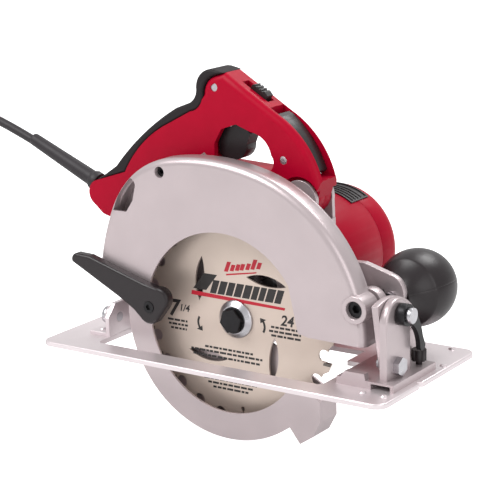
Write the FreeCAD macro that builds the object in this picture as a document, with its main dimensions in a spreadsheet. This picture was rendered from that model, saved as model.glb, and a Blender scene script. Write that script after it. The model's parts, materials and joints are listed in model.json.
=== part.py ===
import FreeCAD, Part
import math
import os
import re

import Sketcher
from FreeCAD import Placement, Rotation, Vector

# A blade-right portable circular saw, in millimetres.
# +X is the cutting direction, +Y runs from the blade to the motor, +Z is up.
# The origin lies on the shoe's bottom face, straight below the arbor, in the blade's mid-plane.

DIMENSIONS = (
    # shoe
    ("shoe_rear", -157.0, "rear edge of the shoe, x"),
    ("shoe_front", 167.0, "front edge of the shoe, x"),
    ("shoe_near", -60.0, "blade-side edge of the shoe, y"),
    ("shoe_far", 93.0, "motor-side edge of the shoe, y"),
    ("shoe_thick", 4.0, "thickness of the shoe plate"),
    ("shoe_corner", 10.0, "corner radius of the shoe"),
    ("window_rear", -112.0, "rear end of the blade window, x"),
    ("window_front", 104.0, "front end of the blade window, x"),
    ("window_near", -41.0, "blade-side edge of the window, y"),
    ("window_far", 19.0, "motor-side edge of the window, y"),
    ("bay_rear", -90.0, "rear end of the window's tilt bay, x"),
    ("bay_front", 91.0, "front end of the window's tilt bay, x"),
    ("bay_far", 46.0, "motor-side edge of the tilt bay, y"),
    # main axes
    ("arbor_height", 30.0, "arbor above the sole, which gives the 62 mm depth of cut"),
    ("pivot_x", 122.0, "depth pivot, x"),
    ("pivot_z", 60.0, "depth pivot, z"),
    ("bevel_y", -10.0, "bevel axis, y"),
    ("bevel_z", 18.0, "bevel axis, z"),
    ("tilt_x", 52.0, "handle pivot, x"),
    ("tilt_z", 130.0, "handle pivot, z"),
    ("handle_mid", 28.0, "mid-plane of the handle, y"),
    ("handle_half", 14.5, "thickness of each handle shell"),
    ("housing_x", 24.5, "axis of the motor housing's outside, x"),
    ("housing_z", 69.0, "axis of the motor housing's outside, z"),
    ("neck_radius", 48.0, "outer radius of the motor housing beside the handle"),
    ("housing_radius", 52.0, "outer radius of the motor housing beyond the handle"),
    ("housing_wall", 3.0, "wall of the motor housing"),
    # blade and spindle
    ("blade_radius", 92.0, "tip radius of a 184 mm blade"),
    ("blade_thick", 1.8, "thickness of the blade plate"),
    ("arbor_radius", 7.94, "radius of the 15.88 mm arbor"),
    ("bearing_bore", 8.5, "radius of the spindle in its bearing"),
    ("flange_radius", 19.0, "radius of the inner blade flange"),
    ("outer_radius", 15.7, "radius of the outer blade flange"),
    ("gear_module", 1.25, "gear module"),
    ("gear_teeth", 43.0, "teeth on the spindle gear"),
    ("pinion_teeth", 13.0, "teeth on the armature pinion"),
    ("mesh_angle", 52.0, "angle of the line of centres above +X"),
    # guards
    ("guard_radius", 130.0, "outer radius of the upper guard about the arbor"),
    ("guard_face", -21.0, "outer face of the upper guard, y"),
    ("guard_split", -4.0, "split plane between cover and back, y"),
    ("guard_skin", 2.5, "thickness of the guard's face"),
    ("guard_wall", 3.0, "thickness of the guard's rim"),
    ("guard_window", 75.0, "radius of the arched window about the arbor"),
    ("guard_edge", 6.0, "rounding of the guard's rim"),
    ("back_radius", 108.0, "outer radius of the guard back"),
    ("back_front", 10.0, "front of the guard back's plate, y"),
    ("back_rear", 13.0, "rear of the guard back's plate, y"),
    ("nose_radius", 23.5, "radius of the nose that carries the lower guard"),
    ("lower_radius", 96.3, "outer radius of the lower guard"),
    ("lower_rim", 2.2, "thickness of the lower guard's rim"),
    ("lower_face", -17.5, "outer face of the lower guard, y"),
    ("lower_back", 7.0, "motor-side face of the lower guard, y"),
    ("lower_inner", 74.0, "inner radius of the lower guard's face"),
    # sheet brackets
    ("quadrant_x", 140.0, "rear face of the bevel quadrant, x"),
    ("quadrant_thick", 5.5, "thickness of the bevel quadrant"),
    ("quadrant_radius", 52.0, "outer radius of the bevel quadrant"),
    ("bevel_slot", 40.0, "radius of the bevel slot"),
    ("slot_half", 4.3, "half width of the bevel and depth slots"),
    ("stud_radius", 4.0, "radius of the clamping studs and bevel pins"),
    ("running_gap", 0.05, "radial clearance of a turning fit"),
    ("strap_x", 146.0, "rear face of the front upright, x"),
    ("strap_thick", 6.0, "thickness of the front upright"),
    ("depth_arc", 190.0, "radius of the depth slot about the depth pivot"),
    ("depth_band", 12.0, "half width of the depth bracket's arc"),
    ("bracket_y", 16.0, "blade-side face of the depth bracket, y"),
    ("bracket_thick", 3.5, "thickness of the depth bracket"),
    # front knob
    ("knob_x", 127.0, "axis of the front knob, x"),
    ("knob_z", 57.0, "axis of the front knob, z"),
    # cord
    ("cord_radius", 4.0, "radius of the power cord"),
    ("floor_level", -66.3, "surface under the lower guard and the cord, z"),
    ("coil_x", -354.0, "centre of the cord's coil, x"),
    ("coil_y", 10.0, "centre of the cord's coil, y"),
    ("coil_outer", 56.0, "outer radius of the coil"),
    ("coil_inner", 31.0, "inner radius of the coil"),
    ("coil_height", 25.0, "height of the coil"),
    ("tie_thick", 1.2, "thickness of the cord tie"),
)
SIZE = {name: value for name, value, note in DIMENSIONS}

doc = FreeCAD.newDocument("circular_saw")
sheet = doc.addObject("Spreadsheet::Sheet", "dims")
for row, (alias, number, meaning) in enumerate(DIMENSIONS, start=1):
    sheet.set(f"A{row}", meaning)
    sheet.set(f"B{row}", str(number))
    sheet.setAlias(f"B{row}", alias)
doc.recompute()

nodes = {}

ARBOR = (0.0, SIZE["arbor_height"])
CENTRES = SIZE["gear_module"] * (SIZE["gear_teeth"] + SIZE["pinion_teeth"]) / 2
MESH = math.radians(SIZE["mesh_angle"])
MOTOR = (CENTRES * math.cos(MESH), ARBOR[1] + CENTRES * math.sin(MESH))
PIVOT = (SIZE["pivot_x"], SIZE["pivot_z"])
BEVEL = (SIZE["bevel_y"], SIZE["bevel_z"])
TILT = (SIZE["tilt_x"], SIZE["tilt_z"])
HOUSING = (SIZE["housing_x"], SIZE["housing_z"])
KNOB = (SIZE["knob_x"], SIZE["knob_z"])

CENTRES_TEXT = "gear_module * (gear_teeth + pinion_teeth) / 2"
MOTOR_X = f"{CENTRES_TEXT} * cos(mesh_angle * 1 deg)"
MOTOR_Z = f"arbor_height + {CENTRES_TEXT} * sin(mesh_angle * 1 deg)"


# ---------------------------------------------------------------- helpers
def linked(text):
    """Turn the sheet's names in a formula into references to its cells."""
    return re.sub(r"[a-z]+_[a-z]+", lambda m: "dims." + m.group(0) if m.group(0) in SIZE else m.group(0), str(text))


def bind(thing, prop, text):
    thing.setExpression(prop, linked(text))


def on_circle(centre, radius, degrees):
    return (centre[0] + radius * math.cos(math.radians(degrees)), centre[1] + radius * math.sin(math.radians(degrees)))


def outline(start, *steps):
    """Closed curve: a step is an end point, or (a point on the arc, end point)."""
    curves = []
    here = start
    for step in steps + (start,):
        if isinstance(step[0], tuple):
            middle, end = step
            curves.append(Part.Arc(Vector(*here, 0), Vector(*middle, 0), Vector(*end, 0)))
        else:
            end = step
            if math.dist(here, end) > 1e-6:
                curves.append(Part.LineSegment(Vector(*here, 0), Vector(*end, 0)))
        here = end
    return curves


def circle(centre, radius):
    return [Part.Circle(Vector(*centre, 0), Vector(0, 0, 1), radius)]


def rectangle(x0, y0, x1, y1):
    return outline((x0, y0), (x1, y0), (x1, y1), (x0, y1))


def hull(c1, r1, c2, r2):
    """Outline around two circles."""
    gap = math.dist(c1, c2)
    base = math.degrees(math.atan2(c2[1] - c1[1], c2[0] - c1[0]))
    lean = math.degrees(math.acos((r1 - r2) / gap))
    a, b = base + lean, base - lean
    return outline(
        on_circle(c1, r1, a),
        (on_circle(c1, r1, base + 180), on_circle(c1, r1, b)),
        on_circle(c2, r2, b),
        (on_circle(c2, r2, base), on_circle(c2, r2, a)),
    )


def arc_slot(centre, radius, half, first, last):
    """Slot that follows a circle from one angle to another."""
    middle = (first + last) / 2
    return outline(
        on_circle(centre, radius - half, first),
        (on_circle(centre, radius - half, middle), on_circle(centre, radius - half, last)),
        (on_circle(centre, radius, last + math.degrees(half / radius)), on_circle(centre, radius + half, last)),
        (on_circle(centre, radius + half, middle), on_circle(centre, radius + half, first)),
        (on_circle(centre, radius, first - math.degrees(half / radius)), on_circle(centre, radius - half, first)),
    )


class Maker:
    """A PartDesign body built up feature by feature; XZ features grow towards +Y."""

    def __init__(self, name, named=True):
        self.name = name
        self.body = doc.addObject("PartDesign::Body", name)
        if named:
            nodes[name] = self.body
        self.count = 0

    def origin(self, role):
        return [f for f in self.body.Origin.OriginFeatures if f.Role == role][0]

    def feature(self, kind):
        self.count += 1
        return self.body.newObject(kind, f"{self.name}_{kind.split('::')[1].lower()}_{self.count}")

    def sketch(self, plane, level, curves):
        drawing = self.feature("Sketcher::SketchObject")
        drawing.AttachmentSupport = [(self.origin(plane + "_Plane"), "")]
        drawing.MapMode = "FlatFace"
        sign = "-1 * " if plane == "XZ" else ""
        bind(drawing, "AttachmentOffset.Base.z", f"{sign}({level})")
        for curve in curves:
            drawing.addGeometry(curve, False)
        return drawing

    def pad(self, plane, level, length, curves):
        step = self.feature("PartDesign::Pad")
        step.Profile = self.sketch(plane, level, curves)
        step.Reversed = plane == "XZ"
        bind(step, "Length", length)
        return step

    def pocket(self, plane, level, length, curves):
        """Cut from a level towards +X, +Y or +Z."""
        before = self.volume()
        step = self.feature("PartDesign::Pocket")
        step.Profile = self.sketch(plane, level, curves)
        step.Reversed = plane != "XZ"
        bind(step, "Length", length)
        if self.volume() > before - 1e-3:
            raise RuntimeError(f"{self.name}: {step.Name} cuts nothing")
        return step

    def turn(self, points, angle=360.0):
        """Revolve a (radius, y) section about the body's own Y axis."""
        step = self.feature("PartDesign::Revolution")
        step.Profile = self.sketch("XY", 0, outline(*points))
        step.ReferenceAxis = (self.origin("Y_Axis"), [""])
        step.Angle = angle
        return step

    def around(self, step, count, axis="Y"):
        """Repeat a feature about one of the body's own axes."""
        pattern = self.feature("PartDesign::PolarPattern")
        pattern.Originals = [step]
        pattern.Axis = (self.origin(axis + "_Axis"), [""])
        pattern.Angle = 360
        pattern.Occurrences = int(count)
        self.body.Tip = pattern
        return pattern

    def round_edges(self, radius, chosen):
        """Fillet the edges that a test on (edge, bounding box) picks."""
        doc.recompute()
        shape = self.body.Tip.Shape
        names = [f"Edge{i}" for i, edge in enumerate(shape.Edges, 1) if chosen(edge, edge.BoundBox)]
        if not names:
            raise RuntimeError(f"{self.name}: no edges to round")
        step = self.feature("PartDesign::Fillet")
        step.Base = (self.body.Tip if self.body.Tip is not step else step.BaseFeature, names)
        step.Radius = radius
        return step

    def place(self, x=0, y=0, z=0):
        for axis, text in zip("xyz", (x, y, z)):
            bind(self.body, f"Placement.Base.{axis}", text)

    def volume(self):
        doc.recompute()
        return self.body.Shape.Volume


AXES = {"x": Rotation(Vector(0, 1, 0), 90), "y": Rotation(Vector(1, 0, 0), -90), "z": Rotation()}
serial = {"count": 0}


def primitive(kind, axis, at, **sizes):
    serial["count"] += 1
    thing = doc.addObject(kind, f"form_{serial['count']}")
    thing.Placement = Placement(Vector(), AXES[axis])
    for letter, text in zip("xyz", at):
        bind(thing, f"Placement.Base.{letter}", text)
    for prop, text in sizes.items():
        bind(thing, prop, text)
    return thing


def rod(axis, at, radius, length):
    return primitive("Part::Cylinder", axis, at, Radius=radius, Height=length)


def block(at, length, width, height):
    return primitive("Part::Box", "z", at, Length=length, Width=width, Height=height)


def hexagon(axis, at, across, length):
    prism = primitive("Part::Prism", axis, at, Circumradius=f"({across}) / 1.732", Height=length)
    prism.Polygon = 6
    return prism


def combined(kind, name, *things):
    result = doc.addObject(kind, name)
    if kind == "Part::Cut":
        result.Base, result.Tool = things
    elif kind == "Part::Compound":
        result.Links = list(things)
    else:
        result.Shapes = list(things)
    return result


def node(name, thing):
    """Name a finished primitive or boolean as a sub-part."""
    thing.Label = name
    nodes[name] = thing
    return thing


def fused(name, *things):
    return node(name, combined("Part::MultiFuse", name, *things))


def cut(name, base, *tools):
    tool = tools[0] if len(tools) == 1 else combined("Part::MultiFuse", f"{name}_tool", *tools)
    return node(name, combined("Part::Cut", name, base, tool))


def group(name, *things):
    return node(name, combined("Part::Compound", name, *things))


def ring(name, axis, at, outer, inner, length):
    return cut(name, rod(axis, at, outer, length), rod(axis, at, inner, length))


# ---------------------------------------------------------------- shoe
def make_shoe_plate():
    plate = Maker("shoe_plate")
    x0, x1, y0, y1 = SIZE["shoe_rear"], SIZE["shoe_front"], SIZE["shoe_near"], SIZE["shoe_far"]
    plate.pad("XY", 0, "shoe_thick", rectangle(x0, y0, x1, y1))
    plate.round_edges(SIZE["shoe_corner"], lambda e, b: b.ZLength > 1)
    wx0, wx1 = SIZE["window_rear"], SIZE["window_front"]
    bx0, bx1 = SIZE["bay_rear"], SIZE["bay_front"]
    wy0, wy1, by = SIZE["window_near"], SIZE["window_far"], SIZE["bay_far"]
    corner = 3.0
    plate.pocket("XY", 0, "shoe_thick", outline(
        (wx0 + corner, wy0), (wx1 - corner, wy0), (wx1, wy0 + corner), (wx1, wy1), (bx1, wy1),
        (bx1, by), (bx0, by), (bx0, wy1), (wx0, wy1), (wx0, wy0 + corner)))
    notch = 4.0
    plate.pocket("XY", 0, "shoe_thick", outline((x1 + 1, -notch), (x1 + 1, notch), (x1 - notch, 0)))
    plate.round_edges(1.2, lambda e, b: b.ZLength < 0.01 and b.ZMin > SIZE["shoe_thick"] - 0.01
                      and (b.YMin < y0 + 0.01 or b.YMax > y1 - 0.01) and b.XLength > 50)
    return plate


def make_rivets():
    spots = ((140, -41), (158, -41), (162, 45), (148, 86), (-125, -17), (-125, 0))
    heights = ["shoe_thick"] * 4 + ["shoe_thick + 3"] * 2
    heads = [primitive("Part::Cone", "z", (x, y, z), Radius1=3, Radius2=1.8, Height=1.3)
             for (x, y), z in zip(spots, heights)]
    group("shoe_rivets", *heads)


SLAB_TOP = 10.0
TUNNEL = (141.6, 158.0)


def make_front_bracket():
    bracket = Maker("front_bracket")
    bracket.pad("XY", "shoe_thick", SLAB_TOP - SIZE["shoe_thick"], rectangle(112, -32, 161, 34))
    base = SIZE["shoe_thick"]
    bracket.pad("XZ", -32, 6, outline((111, base), (138, base), (136, 15), (119, 15)))
    y0, y1 = -26.0, 10.0
    middle = (y0 + y1) / 2
    upright = outline((y0, SLAB_TOP - 1), (y1, SLAB_TOP - 1), (y1, 54), ((middle, 70), (y0, 54)))
    bracket.pad("YZ", "strap_x", "strap_thick", upright)
    bracket.pocket("XZ", -40, 90, rectangle(TUNNEL[0], base - 1, TUNNEL[1], base + 4.4))
    bracket.pocket("YZ", "strap_x - 1", "strap_thick + 2", circle(BEVEL, SIZE["stud_radius"]))
    bracket.pocket("YZ", "strap_x - 1", "strap_thick + 2", circle(BEVEL_STUD, SIZE["stud_radius"]))
    bracket.pocket("XY", SLAB_TOP - 3, 5, circle(FENCE_SCREW, 2.5 + SIZE["running_gap"]))
    bracket.round_edges(2.0, lambda e, b: b.XMin > 151.9 and b.XMax < 152.1 and b.ZMin > 10
                        and b.ZLength > 12 and b.ZMax > 50)
    return bracket


BEVEL_STUD = on_circle(BEVEL, SIZE["bevel_slot"], 85)
FENCE_SCREW = (152.0, 24.0)


def make_shoe_hardware():
    pin_y, pin_z = "bevel_y", "bevel_z"
    shank = rod("x", (136, pin_y, pin_z), "stud_radius", 17)
    head = hexagon("x", ("strap_x + strap_thick", pin_y, pin_z), 13, 5)
    front = combined("Part::MultiFuse", "bevel_pin_front", shank, head)
    shank = rod("x", (-122, pin_y, pin_z), "stud_radius", 10)
    head = rod("x", (-126, pin_y, pin_z), 7, 4)
    rear = combined("Part::MultiFuse", "bevel_pin_rear", shank, head)
    group("bevel_pins", front, rear)
    stud_y = "bevel_y + bevel_slot * cos(85 deg)"
    stud_z = "bevel_z + bevel_slot * sin(85 deg)"
    shank = rod("x", ("quadrant_x - 1", stud_y, stud_z), "stud_radius", 23)
    head = rod("x", ("quadrant_x - 3.5", stud_y, stud_z), 6, 3)
    nut = rod("x", (160.3, stud_y, stud_z), 6, 4)
    fused("bevel_stud", shank, head, nut)
    x, y = FENCE_SCREW
    shank = rod("z", (x, y, SLAB_TOP - 1.5), 2.5, 5)
    head = Maker("fence_screw_head", named=False)
    head.pad("XY", 0, 9, circle((0, 0), 5.8))
    doc.recompute()
    groove = head.pocket("XY", -1, 11, circle((6.9, 0), 1.7))
    head.around(groove, 8, axis="Z")
    head.place(x, y, SLAB_TOP + 3)
    fused("fence_screw", shank, head.body)


def make_rear_bracket():
    bracket = Maker("rear_bracket")
    base = SIZE["shoe_thick"]
    bracket.pad("YZ", -116, 4, outline((-25, base), (8, base), (8, 25), (1, 31), (-15, 31), (-25, 20)))
    bracket.pad("XY", "shoe_thick", 3, rectangle(-133, -25, -114, 8))
    bracket.pocket("YZ", -117, 6, circle(BEVEL, SIZE["stud_radius"]))
    return bracket


# ---------------------------------------------------------------- bevel frame
def make_bevel_yoke():
    yoke = Maker("bevel_yoke")
    radius, hub = SIZE["quadrant_radius"], 7.6
    sector = outline(
        on_circle(BEVEL, radius, -3),
        (on_circle(BEVEL, radius, 50), on_circle(BEVEL, radius, 110)),
        on_circle(BEVEL, hub, 180),
        (on_circle(BEVEL, hub, 230), on_circle(BEVEL, hub, 275)),
    )
    yoke.pad("YZ", "quadrant_x", "quadrant_thick", sector)
    arm = outline((140.5, 24), (140.5, 42), (132.5, 51), on_circle(PIVOT, 12, 20),
                  (on_circle(PIVOT, 12, 120), on_circle(PIVOT, 12, 215)), (118, 44))
    yoke.pad("XZ", -1, 9, arm)
    yoke.pocket("YZ", "quadrant_x - 1", "quadrant_thick + 2",
                arc_slot(BEVEL, SIZE["bevel_slot"], SIZE["slot_half"], 34, 86))
    yoke.pocket("YZ", "quadrant_x - 1", "quadrant_thick + 2",
                circle(BEVEL, SIZE["stud_radius"] + SIZE["running_gap"]))
    yoke.pocket("XZ", -2, 12, circle(PIVOT, 5 + SIZE["running_gap"]))
    return yoke


def depth_point(radius, degrees):
    """Point at an angle above -X about the depth pivot."""
    return on_circle(PIVOT, radius, 180 - degrees)


DEPTH_REST = -12.0
DEPTH_TRAVEL = 28.0
DEPTH_STUD = depth_point(SIZE["depth_arc"], DEPTH_REST)


def make_depth_bracket():
    bracket = Maker("depth_bracket")
    inner, outer = SIZE["depth_arc"] - SIZE["depth_band"], SIZE["depth_arc"] + SIZE["depth_band"]
    low, high = DEPTH_REST - 3.2, DEPTH_REST + DEPTH_TRAVEL + 4
    middle = (low + high) / 2
    plate = outline(
        (-121, 8.5), (depth_point(inner, low)[0], 8.5), depth_point(inner, low),
        (depth_point(inner, middle), depth_point(inner, high)),
        (depth_point(SIZE["depth_arc"], high + 2), depth_point(outer, high)),
        (depth_point(outer, middle), depth_point(outer, DEPTH_REST + 4)),
        (-92, 27.5), (-121, 27.5))
    bracket.pad("XZ", "bracket_y", "bracket_thick", plate)
    tab_end = SIZE["bracket_y"] + SIZE["bracket_thick"]
    hub = 9.5
    tab = outline(on_circle(BEVEL, hub, 90), (on_circle(BEVEL, hub, 180), on_circle(BEVEL, hub, 270)),
                  (tab_end, 8.5), (tab_end, 27.5))
    bracket.pad("YZ", -121, 4, tab)
    bracket.pocket("YZ", -122, 6, circle(BEVEL, SIZE["stud_radius"] + SIZE["running_gap"]))
    first = 180 - (DEPTH_REST + DEPTH_TRAVEL + 0.4)
    last = 180 - (DEPTH_REST - 0.4)
    bracket.pocket("XZ", "bracket_y - 1", "bracket_thick + 2",
                   arc_slot(PIVOT, SIZE["depth_arc"], SIZE["slot_half"], first, last))
    return bracket


# ---------------------------------------------------------------- upper guard
RIM_STATIONS = ((-50.0, 159.5), (-108.0, 115.0), (-125.0, 50.0))


def guard_rim(inset):
    """The guard's edge as tangent arcs, from the front over the top to the rear, moved inwards."""
    radius = SIZE["guard_radius"]
    turn = 75.0
    start = on_circle(ARBOR, radius - inset, math.degrees(math.asin(1.0 / radius)))
    steps = [(on_circle(ARBOR, radius - inset, turn / 2), on_circle(ARBOR, radius - inset, turn))]
    here = on_circle(ARBOR, radius, turn)
    for station in RIM_STATIONS:
        chord = math.degrees(math.atan2(station[1] - here[1], station[0] - here[0])) % 360
        swing = chord - turn - 90
        bend = math.dist(here, station) / (2 * math.sin(math.radians(swing)))
        centre = on_circle(here, -bend, turn)
        steps.append((on_circle(centre, bend - inset, turn + swing), on_circle(centre, bend - inset, turn + 2 * swing)))
        turn += 2 * swing
        here = station
    return start, steps


def make_upper_guard():
    guard = Maker("upper_guard")
    start, steps = guard_rim(0)
    window = SIZE["guard_window"]
    left, right = on_circle(ARBOR, window, 173.5), on_circle(ARBOR, window, 33)
    guard.pad("XZ", "guard_face", "guard_split - guard_face", outline(
        start, *steps, (-99, 41), left, (on_circle(ARBOR, window, 100), right), (71, 34), (80, 32)))
    y0 = SIZE["guard_face"]
    guard.round_edges(SIZE["guard_edge"], lambda e, b: b.YMax < y0 + 0.01 and b.ZMax > 100
                      and math.dist(ARBOR, (e.CenterOfMass.x, e.CenterOfMass.z)) > 90)
    start, steps = guard_rim(SIZE["guard_wall"])
    guard.pocket("XZ", "guard_face + guard_skin", 40, outline(start, *steps, (-122, 20), (start[0], 20)))
    guard.pad("XZ", "guard_face - 2", "guard_split - guard_face + 2", circle(PIVOT, 11))
    guard.pocket("XZ", "guard_face - 3", 30, circle(PIVOT, 5))
    guard.pocket("XZ", "guard_face - 3", 11, circle(PIVOT, 6.8))
    guard.pad("XZ", "guard_face + 1", "guard_split - guard_face - 1", circle(GUARD_SCREW, 7))
    guard.pocket("XZ", "guard_face - 1", 30, circle(GUARD_SCREW, 2))
    guard.pocket("XZ", "guard_face - 1", 8, circle(GUARD_SCREW, 4.6))
    guard.pocket("XZ", "guard_face - 1", "guard_skin + 6", outline(
        (-106, 112), (-101, 125), (-91, 137.5), ((-85, 139.5), (-82, 134)), (-85, 122), (-92, 112)))
    guard.round_edges(1.0, lambda e, b: b.YMax < y0 - 1.9)
    return guard


GUARD_SCREW = (-57.0, 148.0)


def make_guard_back():
    back = Maker("guard_back")
    radius = SIZE["back_radius"]
    right, left = on_circle(ARBOR, radius, 3), on_circle(ARBOR, radius, 172)
    hub = CASE_RADIUS
    lug = 12.0
    back.pad("XZ", "back_front", "back_rear - back_front", outline(
        right, (on_circle(ARBOR, radius, 90), left), (-80, 36),
        on_circle(DEPTH_STUD, lug, 160), (on_circle(DEPTH_STUD, lug, 225), on_circle(DEPTH_STUD, lug, 290)),
        (-38, 14), on_circle(ARBOR, hub, 215), (on_circle(ARBOR, hub, 270), on_circle(ARBOR, hub, 350)),
        (50, 35)))
    rim_inner = radius - 3.5
    back.pad("XZ", "guard_split", "back_front - guard_split", outline(
        on_circle(ARBOR, radius, 3), (on_circle(ARBOR, radius, 90), left),
        on_circle(ARBOR, rim_inner, 172), (on_circle(ARBOR, rim_inner, 90), on_circle(ARBOR, rim_inner, 3))))
    start, steps = guard_rim(0.5)
    back.pad("XZ", "guard_split", 2.5, outline(
        start, *steps, (-107, 43.5), on_circle(ARBOR, rim_inner, 172),
        (on_circle(ARBOR, rim_inner, 90), on_circle(ARBOR, rim_inner, 1))))
    back.pad("XZ", 4.5, "back_front - 4.5", circle(ARBOR, SIZE["nose_radius"]))
    back.pocket("XZ", 5.5, "back_rear - 5.5", circle(ARBOR, 17.5))
    back.pocket("XZ", 4, 3, circle(ARBOR, 12))
    back.pocket("XZ", "guard_split - 1", 5, circle(PIVOT, 5))
    back.pocket("XZ", "back_front - 1", 5, circle(MOTOR, 11))
    return back


CASE_RADIUS = 29.8


def make_gear_case():
    case = Maker("gear_case")
    bulge = 17.0
    case.pad("XZ", "back_rear", 21, hull(ARBOR, CASE_RADIUS, MOTOR, bulge))
    case.pad("XZ", 30, 6, circle(HOUSING, SIZE["neck_radius"]))
    case.pad("XZ", 33, 3, circle(ARBOR, 14))
    case.pad("YZ", -36, 10, circle(LOCK_CENTRE, 6.5))
    case.pocket("XZ", "back_rear - 1", 18, circle(ARBOR, 28.6))
    case.pocket("XZ", "back_rear - 1", 18, circle(MOTOR, 11))
    case.pocket("XZ", 29, 5, circle(ARBOR, 11))
    case.pocket("XZ", 29, 8, circle(MOTOR, 13))
    case.pocket("YZ", -40, 15, circle(LOCK_CENTRE, LOCK_PIN + SIZE["running_gap"]))
    case.pocket("YZ", -37, 3.5, circle(LOCK_CENTRE, 5.3))
    return case


LOCK_CENTRE = (26.6, ARBOR[1])
LOCK_PIN = 1.8


HOUSING_END = 102.0
CAP_END = 134.0


def make_motor_housing():
    shell = Maker("motor_housing")
    neck, radius, wall = SIZE["neck_radius"], SIZE["housing_radius"], SIZE["housing_wall"]
    shell.turn(((neck, 36), (neck, 43.5), (radius, 47), (radius, HOUSING_END), (radius - wall, HOUSING_END),
                (radius - wall, 47.5), (neck - wall, 44), (neck - wall, 36)))
    # cooling slots in the rear side
    for height in (-30, -18, -6, 6, 18, 30):
        shell.pocket("YZ", -56, 36, hull((54, height), 1.6, (70, height), 1.6))
    shell.place("housing_x", 0, "housing_z")
    return shell


def make_end_cap():
    cap = Maker("motor_end_cap")
    radius, wall, dome = SIZE["housing_radius"], SIZE["housing_wall"], 16.0
    bend = 1 - math.sqrt(0.5)
    inner = dome - wall
    cap.turn((
        (0, CAP_END), (radius - dome, CAP_END),
        ((radius - dome * bend, CAP_END - dome * bend), (radius, CAP_END - dome)), (radius, HOUSING_END),
        (radius - wall, HOUSING_END), (radius - wall, CAP_END - dome),
        ((radius - wall - inner * bend, CAP_END - wall - inner * bend), (radius - dome, CAP_END - wall)),
        (0, CAP_END - wall)))
    vent = cap.pocket("XZ", CAP_END - 6, 10, hull((29.5, 0), 2, (33.5, 0), 2))
    cap.around(vent, 14)
    # post inside the dome with a seat for the armature's rear bearing
    offset = (MOTOR[0] - HOUSING[0], MOTOR[1] - HOUSING[1])
    cap.pad("XZ", 113, CAP_END - wall + 0.5 - 113, circle(offset, 14))
    cap.pocket("XZ", 112, 9, circle(offset, 11))
    cap.place("housing_x", 0, "housing_z")
    return cap


def make_bearings():
    arbor = (0, "arbor_height")
    motor = (MOTOR_X, MOTOR_Z)
    rings = []
    for (x, z), y, outer, bore, width in (
            (arbor, 5.5, 17.5, "bearing_bore", 7.5), (arbor, 30, 11, "6", 4),
            (motor, 30, 13, "5", 6), (motor, 113, 11, "4", 7)):
        outside = rod("y", (x, y, z), outer, width)
        inside = rod("y", (x, y, z), f"{bore} + running_gap", width)
        rings.append(combined("Part::Cut", f"bearing_{len(rings)}", outside, inside))
    group("ball_bearings", *rings)


def make_motor_parts():
    ring("stator_core", "y", (MOTOR_X, 48, MOTOR_Z), 34.5, 22.3, 40)
    coils = []
    for level in (40, 88):
        outer = rod("y", (MOTOR_X, level, MOTOR_Z), 33, 8)
        inner = rod("y", (MOTOR_X, level, MOTOR_Z), 31 if level == 40 else 26, 8)
        coils.append(combined("Part::Cut", f"coil_{level}", outer, inner))
    group("field_coils", *coils)
    holders, brushes = [], []
    for side in (-1, 1):
        start = f"{MOTOR_X} - 25" if side < 0 else f"{MOTOR_X} + 13.5"
        tube = block((start, 98.5, f"{MOTOR_Z} - 5"), 11.5, 13, 10)
        hole = block((f"({start}) - 1", 101, f"{MOTOR_Z} - 3.1"), 20, 8, 6.2)
        holders.append(combined("Part::Cut", f"holder_{side + 1}", tube, hole))
        inner = f"{MOTOR_X} - 22" if side < 0 else f"{MOTOR_X} + 12.1"
        brushes.append(block((inner, 101.1, f"{MOTOR_Z} - 3"), 9.9, 7.8, 6))
    group("brush_holders", *holders)
    group("carbon_brushes", *brushes)


def tooth_outline(teeth, module, first_angle):
    """Whole gear outline with straight-sided teeth, a little slim for backlash."""
    root, tip = module * (teeth - 2.5) / 2, module * (teeth + 2) / 2
    pitch = 360.0 / teeth
    points = []
    for i in range(int(teeth)):
        middle = first_angle + i * pitch
        for radius, share in ((root, -0.30), (tip, -0.12), (tip, 0.12), (root, 0.30)):
            points.append(on_circle((0, 0), radius, middle + share * pitch))
    return outline(*points)


def make_spindle():
    shaft = Maker("spindle")
    shaft.turn(((0, -5.6), (SIZE["arbor_radius"], -5.6), (SIZE["arbor_radius"], 4.6), (SIZE["bearing_bore"], 4.6),
                (SIZE["bearing_bore"], 15), (7, 15), (7, 24.2), (12, 24.2), (12, 29), (6, 29), (6, 33.5), (0, 33.5)))
    shaft.pocket("XZ", -6.6, 7.6, circle((0, 0), 4))
    # cross hole for the lock pin, open at both sides of the collar
    shaft.pocket("YZ", -13, 26, circle((LOCK_CENTRE[0], 0), LOCK_PIN + 0.3))
    shaft.place(0, 0, "arbor_height")
    gear = Maker("spindle_gear")
    # A gap of this gear faces the pinion along the line of centres.
    first = SIZE["mesh_angle"] + 180.0 / SIZE["gear_teeth"]
    gear.pad("XZ", 15.2, 8.8, tooth_outline(SIZE["gear_teeth"], SIZE["gear_module"], first))
    gear.pocket("XZ", 14, 12, circle((0, 0), 7))
    gear.place(0, 0, "arbor_height")
    inner = Maker("inner_flange")
    radius = SIZE["flange_radius"]
    inner.turn(((SIZE["arbor_radius"], 0.9), (radius, 0.9), (radius, 2.4), (radius - 2, 4.2),
                (SIZE["arbor_radius"], 4.2)))
    inner.place(0, 0, "arbor_height")
    outer = Maker("outer_flange")
    rim = SIZE["outer_radius"]
    outer.turn(((SIZE["arbor_radius"], -0.9), (rim, -0.9), (rim, -2.6), (rim - 4.2, -5.8),
                (SIZE["arbor_radius"], -5.8)))
    outer.place(0, 0, "arbor_height")
    bolt = Maker("blade_bolt")
    bolt.turn(((0, -7), (10.8, -7), (10.8, -5.8), (4, -5.8), (4, 1), (0, 1)))
    bolt.pad("XZ", -10.4, 4, outline(*[on_circle((0, 0), 10.4, 60 * i + 12) for i in range(6)]))
    bolt.round_edges(0.8, lambda e, b: b.YMax < -10.39)
    bolt.place(0, 0, "arbor_height")


BLADE_TEETH = 24


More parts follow.
